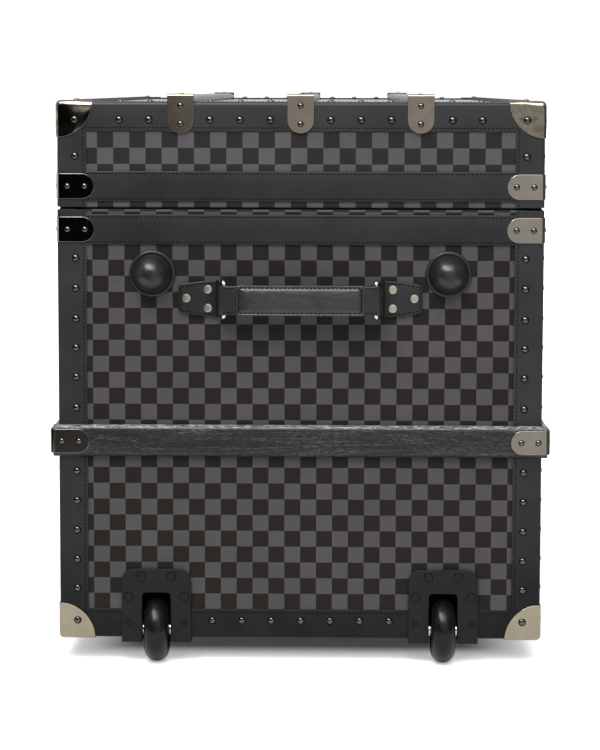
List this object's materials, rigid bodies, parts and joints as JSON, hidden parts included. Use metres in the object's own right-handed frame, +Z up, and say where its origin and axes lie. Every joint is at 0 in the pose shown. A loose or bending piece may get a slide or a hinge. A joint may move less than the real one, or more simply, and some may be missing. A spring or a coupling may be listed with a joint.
{
  "type": "wardrobe trunk",
  "caption": "Wheeled wardrobe trunk lying on its back, with a hinged lid, wooden slats, leather bands and handles, metal corners and domed feet.",
  "frame": {"origin": "on the floor under the middle of the trunk, below its bottom's centre", "axes": "+Z up, towards the lid; -Y out of the end that carries the wheels; +X towards the hinged long side; -X towards the latched long side"},
  "size_m": [0.5016, 0.9296, 0.5725],
  "materials": {
    "canvas": "plywood covered with coated canvas printed with a plain dark chequer",
    "lining": "matt woven lining",
    "edge_trim": "satin stitched edge trim",
    "band_leather": "satin stitched leather with polished corner brackets",
    "handle_leather": "satin stitched and riveted leather on metal rings",
    "slat_wood": "dark stained open-grained wood",
    "bright_metal": "polished nickel",
    "steel": "plated steel",
    "foot_rubber": "satin black moulded rubber",
    "housing_plastic": "satin black",
    "wheel_plastic": "moulded wheel core with a bearing at each side",
    "tread": "smooth soft tread"
  },
  "bodies": {
    "body": {"body_shell": "canvas", "body_lining": "lining", "body_edge_trim": "edge_trim", "wheel_edge_trim": "edge_trim", "body_band": "band_leather", "body_slats": "slat_wood", "slat_bracket_near_left": "bright_metal", "slat_bracket_near_right": "bright_metal", "slat_bracket_far_left": "bright_metal", "slat_bracket_far_right": "bright_metal", "base_cap_near_left": "bright_metal", "base_cap_near_right": "bright_metal", "base_cap_far_left": "bright_metal", "base_cap_far_right": "bright_metal", "end_foot_left": "foot_rubber", "base_foot_left": "foot_rubber", "wheel_housing_left": "housing_plastic", "wheel_axle_left": "steel", "end_foot_right": "foot_rubber", "base_foot_right": "foot_rubber", "wheel_housing_right": "housing_plastic", "wheel_axle_right": "steel", "near_handle_anchor_left": "handle_leather", "near_handle_anchor_right": "handle_leather", "far_handle_anchor_left": "handle_leather", "far_handle_anchor_right": "handle_leather", "hanging_rail": "steel", "hinge_body_leaf": "bright_metal", "latch_case_near": "bright_metal", "latch_case_far": "bright_metal"},
    "lid": {"lid_shell": "canvas", "lid_lining": "lining", "lid_edge_trim": "edge_trim", "lid_band": "band_leather", "lid_cap_near_left": "bright_metal", "lid_cap_near_right": "bright_metal", "lid_cap_far_left": "bright_metal", "lid_cap_far_right": "bright_metal", "lid_slat_left": "slat_wood", "slat_clip_near_left": "bright_metal", "slat_clip_far_left": "bright_metal", "lid_slat_middle": "slat_wood", "slat_clip_near_middle": "bright_metal", "slat_clip_far_middle": "bright_metal", "lid_slat_right": "slat_wood", "slat_clip_near_right": "bright_metal", "slat_clip_far_right": "bright_metal", "hinge_lid_leaf": "bright_metal", "latch_plate_near": "bright_metal", "latch_plate_far": "bright_metal"},
    "hasp_near": {"latch_hasp_near": "bright_metal"},
    "hasp_far": {"latch_hasp_far": "bright_metal"},
    "wheel_left": {"wheel_core_left": "wheel_plastic", "wheel_tyre_left": "tread"},
    "wheel_right": {"wheel_core_right": "wheel_plastic", "wheel_tyre_right": "tread"},
    "barrel_near": {"latch_barrel_near": "steel"},
    "barrel_far": {"latch_barrel_far": "steel"},
    "grip_near": {"near_handle_grip": "handle_leather"},
    "grip_far": {"far_handle_grip": "handle_leather"}
  },
  "joints": [
    {"name": "lid_hinge", "type": "hinge", "parent": "body", "child": "lid", "pos_m": [0.2469, 0, 0.459], "axis": [0, 1, 0], "range_deg": [0, 105]},
    {"name": "wheel_left_spin", "type": "hinge", "parent": "body", "child": "wheel_left", "pos_m": [-0.1444, -0.4325, 0.0325], "axis": [1, 0, 0], "continuous": true},
    {"name": "wheel_right_spin", "type": "hinge", "parent": "body", "child": "wheel_right", "pos_m": [0.1444, -0.4325, 0.0325], "axis": [1, 0, 0], "continuous": true},
    {"name": "hasp_near_swing", "type": "hinge", "parent": "lid", "child": "hasp_near", "pos_m": [-0.2484, -0.21, 0.4695], "axis": [0, 1, 0], "range_deg": [0, 150]},
    {"name": "hasp_far_swing", "type": "hinge", "parent": "lid", "child": "hasp_far", "pos_m": [-0.2484, 0.21, 0.4695], "axis": [0, 1, 0], "range_deg": [0, 150]},
    {"name": "barrel_near_turn", "type": "hinge", "parent": "body", "child": "barrel_near", "pos_m": [-0.247, -0.21, 0.422], "axis": [1, 0, 0], "range_deg": [0, 90]},
    {"name": "barrel_far_turn", "type": "hinge", "parent": "body", "child": "barrel_far", "pos_m": [-0.247, 0.21, 0.422], "axis": [1, 0, 0], "range_deg": [0, 90]},
    {"name": "near_handle_pull", "type": "slide", "parent": "body", "child": "grip_near", "axis": [0, -1, 0], "range_m": [0, 0.006]},
    {"name": "far_handle_pull", "type": "slide", "parent": "body", "child": "grip_far", "axis": [0, 1, 0], "range_m": [0, 0.006]}
  ]
}
